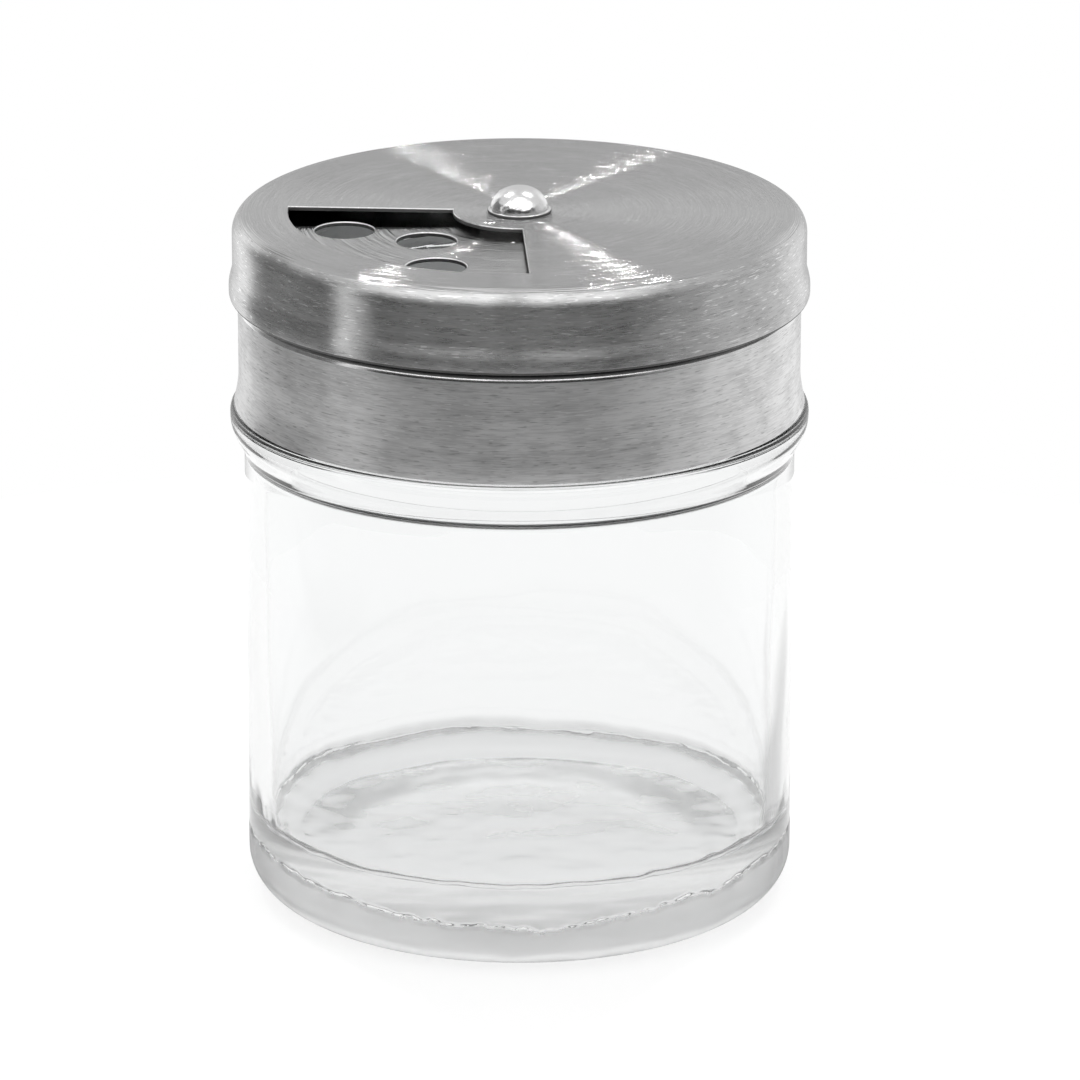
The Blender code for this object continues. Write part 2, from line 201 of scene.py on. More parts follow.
# Other surfaces: colour, roughness, grain by the metre, depth of the grain, metallic
EVEN = {
    # painted shade: near-black steel for the cut walls, the faces under the cover's lip and under
    # the rivet's brim
    "painted_shade_steel": ((0.16, 0.16, 0.16), 0.55, 2500, 0.02 * MM, 1.0),
    "cap_inside_steel": ((0.85, 0.85, 0.85), 0.35, 900, 0.004 * MM, 1.0),
    "rivet_steel": ((0.90, 0.90, 0.90), 0.20, 650, 0.16 * MM, 1.0),
    "liner_plastic": ((0.86, 0.87, 0.87), 0.42, 900, 0.01 * MM, 0.0),
    "silicone": ((0.80, 0.80, 0.79), 0.55, 700, 0.008 * MM, 0.0),
    "nylon": ((0.84, 0.84, 0.82), 0.5, 900, 0.005 * MM, 0.0),
}
BROAD_GRAIN = 12              # times as wide as the grain
GRAIN_TONE = 0.02             # shares by which tone and roughness vary
BROAD_TONE = 0.04
BROAD_GLOSS = 0.15
GLASSES = {                   # roughness, grain by the metre, depth of the grain
    "clear_glass": (0.0, 120.0, 0.02 * MM),
    "stippled_glass": (0.34, 190.0, 0.4 * MM),
}
GLASS_TONE = (0.985, 0.99, 0.99, 1)
GLASS_IOR = 1.5

# Faces that get another steel or the near-black painted shade, by the upward part of their normal
# and by where they are
CUT_FACING = 0.3
CUT_MARGIN = 1 * MM
PLATE_FACING = 0.9
PLATE_DEPTH = 0.01 * MM
SHOULDER_FACING = 0.05
SHOULDER_REACH = 1.1
COVER_FACING = 0.8
LIP_FACING = -0.1
BRIM_FACING = 0.7

# Floor
FLOOR_RADIUS = 0.15
FLOOR_COLUMNS = 96
FLOOR_DROP = 0.1 * MM
FLOOR_TONE = 0.40
FLOOR_GLOW = 0.76
FLOOR_SHINE = 0.30            # the floor in front of the jar, as the metal shows it
SHINE_EDGE = (-0.03, 0.02)    # from there it gets as light as it is behind
THROUGH_GLOW = 0.65           # the floor as the glass shows it
FOOT_SHADE = (0.038, 0.048, 0.74, 1.0)       # darker near the foot
UNDER_SHADE = (0.0262, 0.0312, 1.44, 1.0)    # and less so straight under it
PATCH_SLOPE = 0.34            # the floor, as the glass shows it, is grey in a patch on the right behind the jar
PATCH_NEAR = (0.030, 0.036)
PATCH_FAR = (0.078, 0.062)
PATCH_START = (0.0, 0.010)
PATCH_GREY = 0.42

# Light
LAMP_WAYS = ((-0.335, 0.433, 0.837), (0.288, 0.383, 0.877))
LAMP_DISTANCE = 1.0
LAMP_SIZE = (0.03, 0.03)
LAMP_POWER = 0.95
ROOM_LIGHT = 0.7
# Greys of the room by degrees round from the camera, left to right
ROOM_GREYS = (                # as the metal shows it
    (-180, 0.62), (-162, 0.66), (-150, 1.10), (-139, 1.10), (-128, 0.22), (-79, 0.10),
    (-74, 1.10), (-68, 0.60), (-60, 0.02), (0, 0.06), (40, 0.02), (80, 0.52), (120, 0.70),
    (138, 0.95), (150, 1.00), (162, 0.66), (180, 0.62))
CEILING_GREYS = (             # and higher up, where two windows stand in front
    (-180, 0.62), (-75, 0.70), (-68, 1.60), (-14, 1.80), (-7, 0.90), (1, 0.90), (8, 1.80),
    (55, 1.60), (65, 0.70), (180, 0.62))
CEILING_HEIGHTS = (0.40, 0.55)
THROUGH_GREYS = (             # as the glass shows it
    (-180, 0.97), (-82, 0.97), (-60, 0.86), (60, 0.86), (82, 0.97), (180, 0.97))

# Camera
CAMERA_PITCH = radians(18.5)
CAMERA_DISTANCE = 0.801
LOOK_AT_Z = 39.31 * MM
FOCAL_PIXELS = 7304
PICTURE_PIXELS = 1080
SENSOR = 36.0
CAMERA_SHIFT = 0.019

# Worked out from the sizes above
foot_out = JAR_RADIUS - HEEL_RADIUS
foot_in = foot_out - FOOT_WIDTH
collar_radius = JAR_RADIUS + COLLAR_DEPTH
bore_radius = JAR_RADIUS - GLASS_WALL
neck_radius = JAR_RADIUS - NECK_STEP
mouth_radius = neck_radius - GLASS_WALL
liner_root = neck_radius + THREAD_DEPTH + THREAD_GAP
liner_radius = liner_root + LINER_WALL
cap_wall = liner_radius + FIT_GAP + SHEET
band_radius = cap_wall + SHOULDER_STEP
cover_radius = cap_wall + COVER_SPACE + SHEET
window_outer = cover_radius - WINDOW_RIM
pin_hole = PIN_RADIUS + FIT_GAP
floor_top = FLOOR_HEIGHT + FLOOR_RISE + FLOOR_FILLET
shoulder_z = BODY_HEIGHT + COLLAR_FLANK + COLLAR_LAND + COLLAR_ROUND
hem_z = shoulder_z + FIT_GAP
rim_z = shoulder_z + NECK_HEIGHT
seal_z = rim_z + FIT_GAP
plate_under_z = seal_z + SEAL_THICKNESS + FIT_GAP
plate_z = plate_under_z + SHEET
turn_washer_z = plate_z + FIT_GAP
cover_z = turn_washer_z + TURN_WASHER_THICKNESS + FIT_GAP + SHEET
cover_lip_z = cover_z - COVER_HEIGHT
band_top_z = cover_lip_z - TURN_GAP
back_washer_z = plate_under_z - FIT_GAP - BACK_WASHER_THICKNESS
thread_z = rim_z - THREAD_DROP - THREAD_TURNS * THREAD_LEAD


# Outlines

def arc(middle_r, middle_z, radius, start, end, steps=ROUND_STEPS):
    """Points of a round stretch; the angles are degrees, 0 outwards and 90 up."""
    angles = [radians(start + (end - start) * i / steps) for i in range(steps + 1)]
    return [(middle_r + radius * cos(a), middle_z + radius * sin(a)) for a in angles]


def blend(start, end, steps=BLEND_STEPS):
    """Points of an S-shaped stretch between two upright walls."""
    points = []
    for i in range(steps + 1):
        t = i / steps
        ease = t * t * (3 - 2 * t)
        points.append((start[0] + (end[0] - start[0]) * ease,
                       start[1] + (end[1] - start[1]) * t))
    return points


def line(start, end, spacing):
    """Evenly spaced points between two points, both left out."""
    count = max(1, round(hypot(end[0] - start[0], end[1] - start[1]) / spacing))
    return [tuple(s + (e - s) * i / count for s, e in zip(start, end)) for i in range(1, count)]


def without_repeats(points):
    kept = []
    for r, z in points:
        if not kept or max(abs(r - kept[-1][0]), abs(z - kept[-1][1])) > WELD_DISTANCE:
            kept.append((r, z))
    return kept


def sheet_outline(points, thickness):
    """Closed outline of a bent sheet; the points are its outer side from the middle outwards."""
    outer = [Vector(p) for p in without_repeats(points)]
    inner = []
    for i, point in enumerate(outer):
        before = (point - outer[i - 1]).normalized() if i > 0 else None
        after = (outer[i + 1] - point).normalized() if i + 1 < len(outer) else None
        before, after = before or after, after or before
        side = Vector((before.y + after.y, -before.x - after.x)).normalized()
        lean = side.dot(Vector((after.y, -after.x)))
        inner.append(point + side * thickness / lean)
    return [tuple(p) for p in outer + inner[::-1]]


# Meshes

def finish_mesh(name, bm, mat):
    """Object from a bmesh, shaded smooth except where it turns sharply."""
    bmesh.ops.recalc_face_normals(bm, faces=bm.faces)
    mesh = bpy.data.meshes.new(name)
    bm.to_mesh(mesh)
    bm.free()
    mesh.shade_smooth()
    mesh.set_sharp_from_angle(angle=SHARP_ANGLE)
    if mat is not None:
        mesh.materials.append(mat)
    obj = bpy.data.objects.new(name, mesh)
    bpy.context.scene.collection.objects.link(obj)
    return obj


def turned(name, outline, mat, columns=COLUMNS, shape=None):
    """Turned solid from an outline that is closed, or ends on the axis twice.

    shape(r, z, turn) gives the place of a point where the piece isn't quite round.
    """
    outline = without_repeats(outline)
    bm = bmesh.new()
    rings = []
    for r, z in outline:
        if r == 0:
            rings.append([bm.verts.new((0, 0, shape(0, z, 0)[1] if shape else z))])
            continue
        ring = []
        for i in range(columns):
            turn = 2 * pi * i / columns
            rr, zz = shape(r, z, turn) if shape else (r, z)
            ring.append(bm.verts.new((rr * cos(turn), rr * sin(turn), zz)))
        rings.append(ring)
    pairs = list(zip(rings, rings[1:]))
    if len(rings[0]) > 1:
        pairs.append((rings[-1], rings[0]))
    for one, other in pairs:
        for i in range(columns):
            j = (i + 1) % columns
            if len(one) == 1:
                bm.faces.new((one[0], other[i], other[j]))
            elif len(other) == 1:
                bm.faces.new((one[i], other[0], one[j]))
            else:
                bm.faces.new((one[i], other[i], other[j], one[j]))
    return finish_mesh(name, bm, mat)


def fan_corners(inner, outer, middle, span, grow=0.0, sway=0.0):
    """Outline of a fan-shaped opening, widened by grow; sway shifts the ends of its outer arc."""
    far, near = [], []
    for i in range(WINDOW_STEPS + 1):
        share = 2 * i / WINDOW_STEPS - 1
        for r, side in ((outer + grow - sway * share, far), (inner - grow, near)):
            a = middle + share * (span / 2 + grow / r)
            side.append((r * cos(a), r * sin(a)))
    return far + near[::-1]


def hole_corners(x, y, radius, grow=0.0):
    """Outline of a round hole, widened by grow."""
    turns = [2 * pi * i / SMALL_COLUMNS for i in range(SMALL_COLUMNS)]
    return [(x + (radius + grow) * cos(a), y + (radius + grow) * sin(a)) for a in turns]


def punch(obj, low_z, high_z, openings):
    """Cuts openings through a sheet. Each gives its outline, widened by the chamfer if asked."""
    bm = bmesh.new()
    for opening in openings:
        levels = (
            (low_z - CUT_OVERRUN, 0),
            (high_z - CUT_BURR, 0),
            (high_z, CUT_BURR),
            (high_z + CUT_OVERRUN, CUT_BURR),
        )
        rings = [[bm.verts.new((x, y, z)) for x, y in opening(grow)] for z, grow in levels]
        for one, other in zip(rings, rings[1:]):
            for i in range(len(one)):
                j = (i + 1) % len(one)
                bm.faces.new((one[i], one[j], other[j], other[i]))
        bm.faces.new(rings[0][::-1])
        bm.faces.new(rings[-1])
    tool = finish_mesh(obj.name + "_cutter", bm, None)
    cut = obj.modifiers.new("cut", "BOOLEAN")
    cut.operation = "DIFFERENCE"
    cut.solver = "EXACT"
    cut.object = tool
    evaluated = obj.evaluated_get(bpy.context.evaluated_depsgraph_get())
    shaped = bpy.data.meshes.new_from_object(evaluated)
    obj.modifiers.clear()
    obj.data = shaped
    shaped.set_sharp_from_angle(angle=SHARP_ANGLE)
    bpy.data.objects.remove(tool, do_unlink=True)


def rib_height(z, turn, start_z):
    """How far the thread's rib stands out of its wall, from 0 to 1."""
    root = THREAD_LEAD * THREAD_ROOT_SHARE / 2
    crest = THREAD_LEAD * THREAD_CREST_SHARE / 2
    height = 0
    turns = turn / (2 * pi)
    while turns <= THREAD_TURNS:
        off = abs(z - start_z - THREAD_LEAD * turns)
        side = min(1, max(0, (root - off) / (root - crest)))
        fade = min(1, min(turns, THREAD_TURNS - turns) / THREAD_FADE_TURNS)
        height = max(height, side * side * (3 - 2 * side) * fade)
        turns += 1
    return height


def wave(x, y, z, length, seed):
    """Smooth noise from -1 to 1 or so."""
    place = Vector((x / length + seed, y / length - seed, z / length + 2 * seed))
    return noise.noise(place)


# Materials

class Graph:
    """Short way to write shader nodes."""

    def __init__(self, tree):
        self.tree = tree

    def add(self, kind, inputs=None, **settings):
        node = self.tree.nodes.new(kind)
        for name, value in settings.items():
            setattr(node, name, value)
        for name, value in (inputs or {}).items():
            self.feed(node.inputs[name], value)
        return node

    def feed(self, socket, value):
        if isinstance(value, bpy.types.NodeSocket):
            self.tree.links.new(value, socket)
        else:
            socket.default_value = value

    def math(self, operation, *values):
        node = self.add("ShaderNodeMath", operation=operation)
        for socket, value in zip(node.inputs, values):
            self.feed(socket, value)
        return node.outputs[0]

    def span(self, value, low, high, to_low, to_high):
        node = self.add("ShaderNodeMapRange", {
            "Value": value, "From Min": low, "From Max": high,
            "To Min": to_low, "To Max": to_high})
        return node.outputs["Result"]

    def mix(self, share, one, other):
        return self.math("ADD", self.math("MULTIPLY", self.math("SUBTRACT", 1.0, share), one),
                         self.math("MULTIPLY", share, other))

    def radius(self, x, y):
        squares = self.math("ADD", self.math("MULTIPLY", x, x), self.math("MULTIPLY", y, y))
        return self.math("SQRT", squares)

    def around(self, value, middle, share):
        """Turns noise into a value that varies round the middle by this share."""
        return self.span(value, NOISE_LOW, NOISE_HIGH, middle * (1 - share), middle * (1 + share))

    def scale_colour(self, colour, value):
        node = self.add("ShaderNodeVectorMath", {0: colour, "Scale": value}, operation="SCALE")
        return node.outputs[0]


def principled(name, **inputs):
    """New material, its graph and its shader with these inputs set."""
    mat = bpy.data.materials.new(name)
    mat.use_nodes = True
    graph = Graph(mat.node_tree)
    shader = mat.node_tree.nodes["Principled BSDF"]
    for key, value in inputs.items():
        graph.feed(shader.inputs[key.replace("_", " ")], value)
    return mat, graph, shader


def brushed(name):
    """Steel whose streaks follow the circle round the Z axis, on flat tops and upright walls."""
    grey, roughness, anisotropic, contrast, relief, ring_relief, seed = STEELS[name]
    mat, graph, shader = principled(
        name, Metallic=1.0, Anisotropic=anisotropic, Anisotropic_Rotation=0.25)
    place = graph.add("ShaderNodeTexCoord").outputs["Object"]
    x, y, z = graph.add("ShaderNodeSeparateXYZ", {0: place}).outputs
    r = graph.math("MAXIMUM", graph.radius(x, y), STREAK_CORE)
    east, north = graph.math("DIVIDE", x, r), graph.math("DIVIDE", y, r)

    def streaks(along, across, detail, shift):
        vector = graph.add("ShaderNodeCombineXYZ", {
            "X": graph.math("MULTIPLY_ADD", east, along, seed + shift),
            "Y": graph.math("MULTIPLY", north, along),
            "Z": graph.math("MULTIPLY", r, across)}).outputs[0]
        return graph.add("ShaderNodeTexNoise", {
            "Vector": vector, "W": graph.math("MULTIPLY", z, across), "Scale": 1.0,
            "Detail": detail, "Roughness": 0.5}, noise_dimensions="4D").outputs[0]

    flecks = streaks(*FLECKS)
    blotch = graph.add("ShaderNodeTexNoise", {
        "Vector": place, "Scale": BLOTCH_GRAIN, "Detail": 2.0}).outputs[0]
    mixed = graph.math("ADD", graph.math("MULTIPLY", streaks(*FINE_STREAKS), FINE_SHARE),
                       graph.math("MULTIPLY", streaks(*COARSE_STREAKS), 1 - FINE_SHARE))
    light = graph.span(flecks, *LIGHT_FLECKS, 0.0, LIGHT_FLECK_GAIN * contrast)
    dark = graph.span(flecks, *DARK_FLECKS, 0.0, DARK_FLECK_GAIN * contrast)
    tone = graph.math("ADD", graph.around(mixed, 1, contrast), light)
    tone = graph.math("SUBTRACT", tone, dark)
    tone = graph.math("MULTIPLY", tone, graph.around(blotch, 1, contrast / 2))
    graph.feed(shader.inputs["Base Color"], graph.scale_colour((grey, grey, grey), tone))
    graph.feed(shader.inputs["Roughness"], graph.around(mixed, roughness, GLOSS_SPREAD))
    height = graph.math("MULTIPLY", mixed, relief)
    if ring_relief:
        height = graph.math("MULTIPLY_ADD", streaks(*FINE_RINGS), ring_relief, height)
        height = graph.math(
            "MULTIPLY_ADD", streaks(*COARSE_RINGS), COARSE_RING_SHARE * ring_relief, height)
    bump = graph.add("ShaderNodeBump", {"Height": height, "Distance": 1.0, "Strength": 1.0})
    graph.feed(shader.inputs["Normal"], bump.outputs[0])
    tangent = graph.add("ShaderNodeTangent", direction_type="RADIAL", axis="Z")
    graph.feed(shader.inputs["Tangent"], tangent.outputs[0])
    return mat


def even(name):
    """Plastic, rubber or metal with a faint grain in its tone, gloss and relief."""
    colour, roughness, grain, relief, metallic = EVEN[name]
    mat, graph, shader = principled(name, Metallic=metallic)
    place = graph.add("ShaderNodeTexCoord").outputs["Object"]
    fine = graph.add("ShaderNodeTexNoise", {
        "Vector": place, "Scale": grain, "Detail": 3.0}).outputs[0]
    broad = graph.add("ShaderNodeTexNoise", {
        "Vector": place, "Scale": grain / BROAD_GRAIN, "Detail": 2.0}).outputs[0]
    tone = graph.math("MULTIPLY", graph.around(fine, 1, GRAIN_TONE),
                      graph.around(broad, 1, BROAD_TONE))
    graph.feed(shader.inputs["Base Color"], graph.scale_colour(colour, tone))
    graph.feed(shader.inputs["Roughness"], graph.around(broad, roughness, BROAD_GLOSS))
    bump = graph.add("ShaderNodeBump", {"Height": fine, "Distance": relief, "Strength": 1.0})
    graph.feed(shader.inputs["Normal"], bump.outputs[0])
    return mat


def glass(name):
    """Moulded glass whose surface isn't quite even."""
    roughness, grain, relief = GLASSES[name]
    mat, graph, shader = principled(
        name, Base_Color=GLASS_TONE, Roughness=roughness, IOR=GLASS_IOR, Transmission_Weight=1.0)
    place = graph.add("ShaderNodeTexCoord").outputs["Object"]
    swell = graph.add("ShaderNodeTexNoise", {
        "Vector": place, "Scale": grain, "Detail": 1.0}).outputs[0]
    bump = graph.add("ShaderNodeBump", {"Height": swell, "Distance": relief, "Strength": 1.0})
    graph.feed(shader.inputs["Normal"], bump.outputs[0])
    return mat


def coat_faces(obj, mat, chosen):
    """Gives another material to the faces that chosen(middle, normal) picks."""
    obj.data.materials.append(mat)
    for face in obj.data.polygons:
        if chosen(face.center, face.normal):
            face.material_index = len(obj.data.materials) - 1


def is_cut(at, way):
    """Whether a face of a lid sheet stands upright inside a cut opening."""
    near = hypot(at.x, at.y) < window_outer + CUT_MARGIN
    return abs(way.z) < CUT_FACING and at.z > plate_under_z and near


# Pieces

def dress(obj, body, slot, *nodes):
    """Puts a piece on its body in place of the plain nodes."""
    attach(obj, body)
    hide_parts(*nodes)


def stipple_top(x, y):
    """Height of the uneven line up to which the heel is stippled."""
    return (HEEL_MARK_Z + HEEL_MARK_RISE * (x / JAR_RADIUS) ** 2
            + HEEL_MARK_SWAY * wave(x, y, 0, 4 * HEEL_MARK_LENGTH, seed=2.3)
            + HEEL_MARK_SWAY / 2 * wave(x, y, 0, HEEL_MARK_LENGTH / 2, seed=9.2))


def jar_shape(r, z, turn):
    """Place of a point of the glass, with its waviness, the line round the heel and the thread."""
    x, y = r * cos(turn), r * sin(turn)
    in_bore = r <= bore_radius + WELD_DISTANCE
    if in_bore and FLOOR_HEIGHT - WELD_DISTANCE <= z <= floor_top + WELD_DISTANCE:
        # 1 where the floor turns up into the wall, 0 in the middle and at the wall
        edge = max(0, 1 - abs(r - (bore_radius - FLOOR_FILLET / 2)) / FLOOR_FILLET)
        z += FLOOR_WAVE * wave(x, y, 0, FLOOR_WAVE_LENGTH, seed=3.1)
        z += EDGE_WAVE * edge * wave(x, y, 0, EDGE_WAVE_LENGTH, seed=8.4)
        r += EDGE_WAVE * edge * wave(x, y, 0, EDGE_WAVE_LENGTH, seed=1.9)
    elif abs(r - bore_radius) < WELD_DISTANCE:
        fade = min(1, (z - floor_top) / WALL_WAVE_LENGTH)
        r += WALL_WAVE * fade * wave(x, y, z, WALL_WAVE_LENGTH, seed=5.7)
    elif 0 < z < PUSH_UP and r < foot_in:
        fade = min(1, (foot_in - r) / HOLLOW_WAVE_LENGTH)
        z += HOLLOW_WAVE * fade * wave(x, y, 0, HOLLOW_WAVE_LENGTH, seed=6.2)
    elif z == 0:
        z += FOOT_WAVE * (1 + wave(x, y, 0, FOOT_WAVE_LENGTH, seed=4.6))
    elif z < BODY_HEIGHT and r > foot_out:
        off = z - stipple_top(x, y)
        patches = HEEL_MARK_PATCHES * wave(x, y, 0, HEEL_MARK_LENGTH / 2, seed=7.7)
        r -= HEEL_MARK_DEPTH * (1 + patches) * exp(-(off / HEEL_MARK_WIDTH) ** 2)
    if z > shoulder_z + NECK_FILLET and r == neck_radius:
        r += THREAD_DEPTH * rib_height(z, turn, thread_z)
    return r, z


def make_jar():
    hollow = [(foot_in * i / HOLLOW_STEPS, PUSH_UP * (1 - (i / HOLLOW_STEPS) ** 2))
              for i in range(HOLLOW_STEPS)]
    land_z = BODY_HEIGHT + COLLAR_FLANK
    neck_foot_z = shoulder_z + NECK_FILLET
    neck_low, neck_high = (neck_radius, neck_foot_z), (neck_radius, rim_z - RIM_ROUND)
    step_z, step_round = BODY_HEIGHT + INNER_STEP_RISE, INNER_STEP_ROUND
    edge_radius, edge_z = bore_radius - FLOOR_FILLET, FLOOR_HEIGHT + FLOOR_RISE
    bore_top, bore_foot = (bore_radius, step_z - step_round), (bore_radius, floor_top)
    floor = [(r, FLOOR_HEIGHT + FLOOR_RISE * (r / edge_radius) ** FLOOR_RISE_POWER)
             for r, z in line((edge_radius, edge_z), (0, edge_z), WALL_ROW / 2)]
    outline = (
        hollow
        + [(foot_in, 0), ((foot_in + foot_out) / 2, 0)]
        + arc(foot_out, HEEL_RADIUS, HEEL_RADIUS, -90, 0, 4 * ROUND_STEPS)
        + line((JAR_RADIUS, HEEL_RADIUS), (JAR_RADIUS, 2 * HEEL_RADIUS), HEEL_ROW)
        + blend((JAR_RADIUS, BODY_HEIGHT), (collar_radius, land_z))
        + arc(collar_radius - COLLAR_ROUND, land_z + COLLAR_LAND, COLLAR_ROUND, 0, 90)
        + arc(neck_radius + NECK_FILLET, neck_foot_z, NECK_FILLET, 270, 180)[:-1]
        + [neck_low]
        + line(neck_low, neck_high, THREAD_ROW)
        + arc(neck_radius - RIM_ROUND, rim_z - RIM_ROUND, RIM_ROUND, 0, 90)
        + arc(mouth_radius + RIM_ROUND, rim_z - RIM_ROUND, RIM_ROUND, 90, 180)
        + arc(mouth_radius + step_round, step_z + step_round, step_round, 180, 270)
        + arc(bore_radius - step_round, step_z - step_round, step_round, 90, 0)
        + line(bore_top, bore_foot, WALL_ROW)
        + arc(edge_radius, floor_top, FLOOR_FILLET, 0, -90, 2 * ROUND_STEPS)
        + floor
        + [(0, FLOOR_HEIGHT)]
    )
    jar = turned("jar_glass", outline, glass("clear_glass"), JAR_COLUMNS, jar_shape)

    def is_stippled(at, way):
        if hypot(at.x, at.y) < foot_out:
            return at.z < PUSH_UP + HOLLOW_WAVE
        return at.z < stipple_top(at.x, at.y)

    coat_faces(jar, glass("stippled_glass"), is_stippled)
    dress(jar, "jar", "clear_glass", "glass_jar")


def make_liner():
    foot = hem_z + LINER_INSET
    top = plate_under_z - 2 * FIT_GAP
    ledge = band_top_z - SHEET - FIT_GAP
    skirt = band_radius - SHEET - FIT_GAP
    low, high = (liner_root, foot + LINER_BEVEL), (liner_root, top)
    outline = (
        [high]
        + line(high, low, THREAD_ROW)
        + [low]
        + arc(liner_root + LINER_BEVEL, foot + LINER_BEVEL, LINER_BEVEL, 180, 270)
        + arc(skirt - LINER_BEVEL, foot + LINER_BEVEL, LINER_BEVEL, -90, 0)
        + [(skirt, ledge), (liner_radius, ledge)]
        + arc(liner_radius - LINER_BEVEL, top - LINER_BEVEL, LINER_BEVEL, 0, 90)
    )
    rib_pitch = THREAD_LEAD * (THREAD_ROOT_SHARE + THREAD_CREST_SHARE) / 2
    rib_z = thread_z - rib_pitch - THREAD_SEAT_GAP

    def shape(r, z, turn):
        return (r - THREAD_DEPTH * rib_height(z, turn, rib_z), z) if r == liner_root else (r, z)

    liner = turned("lid_liner", outline, even("liner_plastic"), shape=shape)
    dress(liner, "cap", "liner_plastic", "threaded_liner")


def make_seal():
    outer, inner = liner_root - FIT_GAP, mouth_radius + FIT_GAP
    low, high = seal_z, seal_z + SEAL_THICKNESS
    soft = SEAL_THICKNESS / 4
    outline = (
        arc(inner + soft, low + soft, soft, 180, 270)
        + arc(outer - soft, low + soft, soft, -90, 0)
        + arc(outer - soft, high - soft, soft, 0, 90)
        + arc(inner + soft, high - soft, soft, 90, 180)
    )
    dress(turned("lid_seal", outline, even("silicone")), "seal", "silicone", "sealing_ring")


def large_holes():
    """Middle and radius of the three holes that the window shows at rest."""
    outer = window_outer - LARGE_HOLE_IN
    places = (
        (WINDOW_INNER + LARGE_HOLE_OUT, SIFTER_TURN),
        (outer, SIFTER_TURN - LARGE_HOLE_TURN),
        (outer, SIFTER_TURN + LARGE_HOLE_TURN),
    )
    return [(r * cos(a), r * sin(a), LARGE_HOLE) for r, a in places]


def small_holes():
    """Middle and radius of the nine holes a quarter turn further on."""
    turn = SIFTER_TURN - pi / 2
    along, across = Vector((cos(turn), sin(turn))), Vector((-sin(turn), cos(turn)))
    middle = (WINDOW_INNER + window_outer) / 2
    holes = []
    for row, count in enumerate(SMALL_HOLE_ROWS):
        out = middle + (row - (len(SMALL_HOLE_ROWS) - 1) / 2) * SMALL_HOLE_PITCH
        for i in range(count):
            place = along * out + across * (i - (count - 1) / 2) * SMALL_HOLE_PITCH
            holes.append((place.x, place.y, SMALL_HOLE))
    return holes


def make_cap():
    flare_z = hem_z + FLARE_HEIGHT
    step_round = SHOULDER_STEP - STEP_FILLET
    flare = []
    for i in range(BLEND_STEPS + 1):
        t = i / BLEND_STEPS
        flare.append((band_radius + FLARE_DEPTH * t * t, flare_z - FLARE_HEIGHT * t))
    outer_side = (
        [(pin_hole, plate_z)]
        + arc(cap_wall - CAP_CORNER, plate_z - CAP_CORNER, CAP_CORNER, 90, 0)
        + arc(cap_wall + STEP_FILLET, band_top_z + STEP_FILLET, STEP_FILLET, 180, 270)
        + arc(band_radius - step_round, band_top_z - step_round, step_round, 90, 0)
        + flare
    )
    outline = sheet_outline(outer_side, SHEET)
    cap = turned("cap_sheet", outline, brushed("cap_steel"), SHEET_COLUMNS)
    openings = [lambda grow, hole=hole: hole_corners(*hole, grow)
                for hole in large_holes() + small_holes()]
    openings.append(lambda grow: fan_corners(
        WINDOW_INNER + POUR_LIP, window_outer - POUR_LIP, SIFTER_TURN - pi, POUR_SPAN, grow))
    punch(cap, plate_under_z, plate_z, openings)
    dimple = (DIMPLE_OUT * cos(DIMPLE_TURN), DIMPLE_OUT * sin(DIMPLE_TURN), DIMPLE_RADIUS)
    dimple_z = plate_z - DIMPLE_DEPTH + CUT_OVERRUN
    punch(cap, dimple_z, plate_z, [lambda grow: hole_corners(*dimple, grow)])

    def is_plate(at, way):
        return way.z > PLATE_FACING and at.z > plate_z - PLATE_DEPTH

    def is_shoulder(at, way):
        return way.z > SHOULDER_FACING and abs(band_top_z - at.z) < SHOULDER_REACH * step_round

    def is_inside(at, way):
        return way.x * at.x + way.y * at.y < 0 and at.z < band_top_z

    coat_faces(cap, brushed("plate_steel"), is_plate)
    coat_faces(cap, brushed("shoulder_steel"), is_shoulder)
    coat_faces(cap, even("cap_inside_steel"), is_inside)
    # Painted shade: the walls of the holes and of the pour slot get near-black steel.
    coat_faces(cap, even("painted_shade_steel"), is_cut)
    dress(cap, "cap", "cap_steel", "shaker_cap")


def make_cover():
    bulge_radius = cover_radius + BULGE_DEPTH
    bulge_z = cover_lip_z + BULGE_ROUND
    dish = []
    for i in range(BLEND_STEPS):
        t = i / BLEND_STEPS
        r = pin_hole + (CENTRE_DISH_RADIUS - pin_hole) * t
        dish.append((r, cover_z - CENTRE_DISH * (1 - t * t * (3 - 2 * t))))
    outer_side = (
        dish
        + [(CENTRE_DISH_RADIUS, cover_z)]
        + arc(cover_radius - COVER_ROLL, cover_z - COVER_ROLL, COVER_ROLL, 90, 0, 2 * ROUND_STEPS)
        + blend((cover_radius, bulge_z + BULGE_HEIGHT), (bulge_radius, bulge_z), ROUND_STEPS)
        + arc(bulge_radius - LIP_ROUND, cover_lip_z + LIP_ROUND, LIP_ROUND, 0, -90)
        + [(cap_wall + TURN_GAP, cover_lip_z)]
    )
    outline = sheet_outline(outer_side, SHEET)
    cover = turned("cover_sheet", outline, brushed("cover_steel"), SHEET_COLUMNS)
    punch(cover, cover_z - SHEET, cover_z, [lambda grow: fan_corners(
        WINDOW_INNER, window_outer, WINDOW_TURN, WINDOW_SPAN, grow, WINDOW_SWAY)])

    # Painted shade: the window's cut walls and the faces under the lip get near-black steel.
    def is_painted_shade(at, way):
        under_lip = at.z < cover_lip_z + LIP_ROUND and way.z < LIP_FACING
        return is_cut(at, way) or under_lip

    coat_faces(cover, brushed("cover_top_steel"), lambda at, way: way.z > COVER_FACING)
    coat_faces(cover, even("painted_shade_steel"), is_painted_shade)
    dress(cover, "cover", "cover_steel", "rotating_cover")


